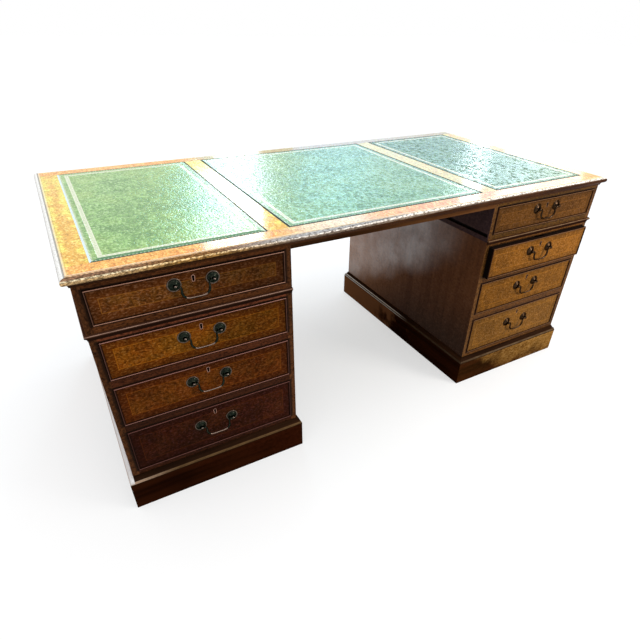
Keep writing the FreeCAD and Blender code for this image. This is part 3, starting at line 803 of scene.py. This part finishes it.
# Drawer boxes
# Thin oak sides and back, with a bottom slid in from behind. They were never polished,
# and have only darkened a little.
material, shader, place = new_finish("drawer_lining", 0.2)
grain = grained(turn(place, (0, 0, 90)), (0.36, 0.23, 0.12), (0.22, 0.13, 0.06), 0.35)
paint(shader, grain["Color"], step(grain["Tone"], 0.0, 1.0, 0.68, 0.55))
bump(shader, grain["Height"], 0.15, 0.0004)
for name in fronts:
    dress(material, name + "_drawer_box")

# Rosettes and posts
# Each handle hangs from two turned brass posts, screwed through the drawer front and
# standing on round stepped plates. The lacquer has gone and the brass is nearly black.
facing_front = (pi / 2, 0, 0)


def new_disc(facets, radius, rotation, fill_type="NGON", location=(0, 0, 0)):
    """A disc or a ring to work from, its place and turn worked into its mesh."""
    bpy.ops.object.select_all(action="DESELECT")
    bpy.ops.mesh.primitive_circle_add(
        vertices=facets, radius=radius, fill_type=fill_type, rotation=rotation, location=location)
    bpy.ops.object.transform_apply(location=True, rotation=True)
    return bpy.context.object


def pick(piece, kind, wanted):
    """Open a piece for editing with only the vertices or faces chosen by wanted selected."""
    bpy.ops.object.mode_set(mode="EDIT")
    bpy.ops.mesh.select_mode(type=kind)
    bpy.ops.mesh.select_all(action="DESELECT")
    bpy.ops.object.mode_set(mode="OBJECT")
    for item in piece.data.vertices if kind == "VERT" else piece.data.polygons:
        item.select = wanted(item)
    bpy.ops.object.mode_set(mode="EDIT")


def push(x, y, z):
    """Draw the selected faces or edges out by one extrusion."""
    bpy.ops.mesh.extrude_region_move(TRANSFORM_OT_translate={"value": (x, y, z)})


def face_outwards():
    """Turn every face of the piece being edited outwards, and leave edit mode."""
    bpy.ops.mesh.select_all(action="SELECT")
    bpy.ops.mesh.normals_make_consistent(inside=False)
    bpy.ops.object.mode_set(mode="OBJECT")


def turned_piece(stations, facets):
    """Turned about Y from (radius, forward) stations: a disc, then one extrusion a step."""
    piece = new_disc(facets, stations[0][0], facing_front)
    pick(piece, "VERT", lambda vertex: True)
    bpy.ops.transform.translate(value=(0, -stations[0][1], 0))
    for (radius, forward), (next_radius, next_forward) in zip(stations, stations[1:]):
        push(0, forward - next_forward, 0)
        share = next_radius / radius
        bpy.ops.transform.resize(value=(share, 1, share), center_override=(0, 0, 0))
    face_outwards()
    return piece


def copied_to(piece, name, place):
    """A copy with its own mesh, moved to its place."""
    twin = bpy.data.objects.new(name, piece.data.copy())
    scene.collection.objects.link(twin)
    twin.data.transform(Matrix.Translation(place))
    return twin


def take_up(*pieces):
    """Select these pieces and nothing else."""
    bpy.ops.object.select_all(action="DESELECT")
    for piece in pieces:
        piece.select_set(True)
    bpy.context.view_layer.objects.active = pieces[0]


def joined(name, pieces):
    take_up(*pieces)
    bpy.ops.object.join()
    pieces[0].name = name
    return pieces[0]


def finish_piece(piece, material, body, slot, *replaced):
    piece.data.materials.clear()
    piece.data.materials.append(material)
    take_up(piece)
    bpy.ops.object.shade_smooth_by_angle(angle=0.7)
    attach(piece, body)
    if replaced:
        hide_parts(*replaced)


def mark_bright(piece, wear_and_light):
    """Mark on each vertex how bright the brass is painted, for rubbing and painted highlights."""
    marks = piece.data.attributes.new("worn_and_lit", "FLOAT", "POINT")
    for vertex, mark in zip(piece.data.vertices, marks.data):
        mark.value = wear_and_light(vertex.co)


# Nearly black on the left, browner on the right as painted light, and bright where marked with
# rubbing and painted highlights
aged_brass, shader, place = new_finish("aged_brass", 0.5)
fill(shader, {"Metallic": 1.0, "Specular Tint": (0.25, 0.22, 0.18)})
cloud = noise(place, 190.0, 4, 0.65)
dark = mixed(step(cloud, 0.40, 0.72), (0.007, 0.011, 0.008), (0.030, 0.031, 0.022))
brown = mixed(cloud, (0.014, 0.007, 0.004), (0.070, 0.038, 0.020))
# Painted light: browner on the right-hand pedestal
dark = mixed(step(split(place)[0], -0.1, 0.1, 0.0, 0.85), dark, brown)
bright_mark = add_node(aged_brass.node_tree, "Attribute", {}, attribute_name="worn_and_lit").outputs["Fac"]
bright = mixed(step(bright_mark, 0.45, 0.60), (0.50, 0.33, 0.26), (0.60, 0.62, 0.62))
paint(shader, mixed(bright_mark, dark, bright), step(cloud, 0.3, 0.7, 0.34, 0.20))

rosette = turned_piece([
    (0.0180, 0.0000), (0.0180, 0.0008), (0.0174, 0.0014), (0.0164, 0.0017), (0.0154, 0.0014),
    (0.0146, 0.0009), (0.0132, 0.0009), (0.0122, 0.0014), (0.0112, 0.0024), (0.0104, 0.0031),
    (0.0094, 0.0034), (0.0084, 0.0037), (0.0072, 0.0044), (0.0058, 0.0050), (0.0046, 0.0060),
    (0.0041, 0.0072), (0.0043, 0.0084), (0.0049, 0.0097), (0.0054, 0.0114), (0.0055, 0.0132),
    (0.0053, 0.0149), (0.0046, 0.0165), (0.0034, 0.0177), (0.0018, 0.0183)], 36)
nut = turned_piece([
    (0.0062, 0.0), (0.0065, 0.0006), (0.0065, 0.0034), (0.0058, 0.0040), (0.0030, 0.0040),
    (0.0028, 0.0048)], 6)


def rosette_bright_marks(place):
    """A painted highlight on the upper part of the post's tip, and a little along the plate's rim.
    """
    radius = (place.x ** 2 + place.z ** 2) ** 0.5
    if place.y < -0.0172 and place.z > 0.0022:
        return 0.55
    return 0.2 if 0.0154 < radius < 0.0176 else 0.0


pull_reach = 0.013
pull_half = 0.048
nut_depth = 0.0240
pin_radius = 0.0032
pivot_of = {}
# Painted highlights go on the left-hand pulls only
for name in fronts:
    low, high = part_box(name + "_bail")
    pivot = Vector(((low.x + high.x) / 2, (low.y + high.y) / 2, high.z - pin_radius))
    pivot_of[name] = pivot
    pulls = []
    for way in (-1, 1):
        seat = pivot + Vector((way * pull_half, pull_reach, 0))
        pulls.append(copied_to(rosette, name + "_pull", seat))
        mark_bright(pulls[-1], lambda spot: rosette_bright_marks(spot - seat) if on_left(name) else 0.0)
        pulls.append(copied_to(nut, name + "_nut", seat + Vector((0, nut_depth, 0))))
    finish_piece(joined(name + "_pulls", pulls), aged_brass,
                 name + "_drawer", "aged_brass", name + "_fittings")
for spare in (rosette, nut):
    bpy.data.objects.remove(spare)

# Keyholes and locks
# A thin brass rim lines each keyhole, and behind it a brass lock is let into the back
# of the front. Its bolt rises into the rail above.
rubbed_brass, shader, place = new_finish("rubbed_brass", 0.5)
fill(shader, {"Metallic": 1.0})
cloud = noise(place, 300.0, 3, 0.6)
skin = mixed(step(cloud, 0.35, 0.7), (0.20, 0.105, 0.078), (0.36, 0.20, 0.15))
skin = mixed(step(split(place)[0], -0.1, 0.1, 0.0, 0.7), skin, (0.11, 0.055, 0.020))
paint(shader, skin, step(cloud, 0.3, 0.7, 0.45, 0.30))

key_radius = 0.0050
key_drop = 0.0087
rim_width = 0.0017
rim_proud = 0.0006
slot_below = 0.0030
rim = new_disc(28, key_radius, facing_front)
pick(rim, "VERT", lambda vertex: vertex.co.z < -slot_below)
bpy.ops.transform.translate(value=(0, 0, -key_drop))
bpy.ops.mesh.select_all(action="SELECT")
bpy.ops.mesh.inset(thickness=rim_width, use_boundary=True)
bpy.ops.mesh.delete(type="FACE")
bpy.ops.mesh.select_all(action="SELECT")
push(0, -rim_proud, 0)
face_outwards()

lock_wide, lock_thick, lock_tall = 0.046, 0.009, 0.048
lock_behind = 0.011
lid_border = 0.0035
lid_proud = 0.0008
lock_arris = 0.0004
bpy.ops.object.select_all(action="DESELECT")
bpy.ops.mesh.primitive_cube_add(
    size=1, scale=(lock_wide, lock_thick, lock_tall),
    location=(0, lock_behind + lock_thick / 2, -lock_tall / 2))
lock = bpy.context.object
bpy.ops.object.transform_apply(location=True, rotation=True, scale=True)
pick(lock, "FACE", lambda face: face.normal.y > 0.9)
bpy.ops.mesh.inset(thickness=lid_border)
push(0, lid_proud, 0)
bpy.ops.mesh.select_all(action="SELECT")
bpy.ops.mesh.bevel(offset=lock_arris, segments=1)
bpy.ops.object.mode_set(mode="OBJECT")

key_below = 0.0192
for name in fronts:
    low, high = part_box(name + "_drawer_front")
    middle_x = (low.x + high.x) / 2
    face = low.y + bead_proud
    keyhole = (middle_x, face + rim_proud / 2, high.z - key_below)
    escutcheon = copied_to(rim, name + "_keyhole_rim", keyhole)
    finish_piece(escutcheon, rubbed_brass, name + "_drawer", "aged_brass")
    case = copied_to(lock, name + "_lock", (middle_x, face, high.z))
    finish_piece(case, aged_brass, name + "_drawer", "aged_brass")
    dress(aged_brass, name + "_lock_bolt")
for spare in (rim, lock):
    bpy.data.objects.remove(spare)

# Swan-neck bails
# Cast brass drop handles: each arm leaves its post, bends over and falls in a swan's
# neck that thickens towards the grip. A pin at each end turns in the post's ball.

# Half of one, from the middle of the grip: across, up, lean in degrees, radius
swan_neck = [
    (0.0000, -0.0371, 0, 0.0025), (0.0100, -0.0370, 1, 0.0025), (0.0190, -0.0363, 10, 0.0026),
    (0.0262, -0.0338, 34, 0.0030), (0.0316, -0.0288, 58, 0.0034), (0.0345, -0.0226, 80, 0.0035),
    (0.0350, -0.0170, 92, 0.0032), (0.0346, -0.0120, 96, 0.0029), (0.0344, -0.0076, 88, 0.0026),
    (0.0356, -0.0038, 62, 0.0025), (0.0382, -0.0011, 30, 0.0025), (0.0416, 0.0000, 0, 0.0026),
    (0.0470, 0.0000, 0, 0.0024)]
facing_end = (0, pi / 2, 0)
start_x, start_z, _, start_radius = swan_neck[0]
bail = new_disc(12, start_radius, facing_end, "NOTHING", (start_x, 0, start_z))
pick(bail, "VERT", lambda vertex: True)
for (x, z, lean, radius), (next_x, next_z, next_lean, next_radius) in zip(swan_neck, swan_neck[1:]):
    push(next_x - x, 0, next_z - z)
    ring = (next_x, 0, next_z)
    bpy.ops.transform.rotate(
        value=radians(next_lean - lean), orient_axis="Y", center_override=ring)
    share = next_radius / radius
    bpy.ops.transform.resize(value=(share, share, share), center_override=ring)
bpy.ops.mesh.edge_face_add()
bpy.ops.object.mode_set(mode="OBJECT")
mirror = bail.modifiers.new("other_half", "MIRROR")
mirror.use_clip = True
mirror.merge_threshold = 0.0002
bpy.ops.object.modifier_apply(modifier=mirror.name)
rounder = bail.modifiers.new("rounding", "SUBSURF")
rounder.levels = 2
rounder.render_levels = 2
bpy.ops.object.modifier_apply(modifier=rounder.name)
bpy.ops.object.mode_set(mode="EDIT")
face_outwards()
grip_half = 0.026
grip_top = 0.0364
# Painted highlight along the top of the grip, strong on the left-hand bails only
for name, pivot in pivot_of.items():
    handle = copied_to(bail, name + "_swan_neck", pivot)
    wear_and_light = 0.34 if on_left(name) else 0.03
    mark_bright(handle, lambda spot: wear_and_light if (
        abs(spot.x - pivot.x) < grip_half and spot.z > pivot.z - grip_top) else 0.0)
    finish_piece(handle, aged_brass, name + "_handle", "aged_brass", name + "_bail")
bpy.data.objects.remove(bail)
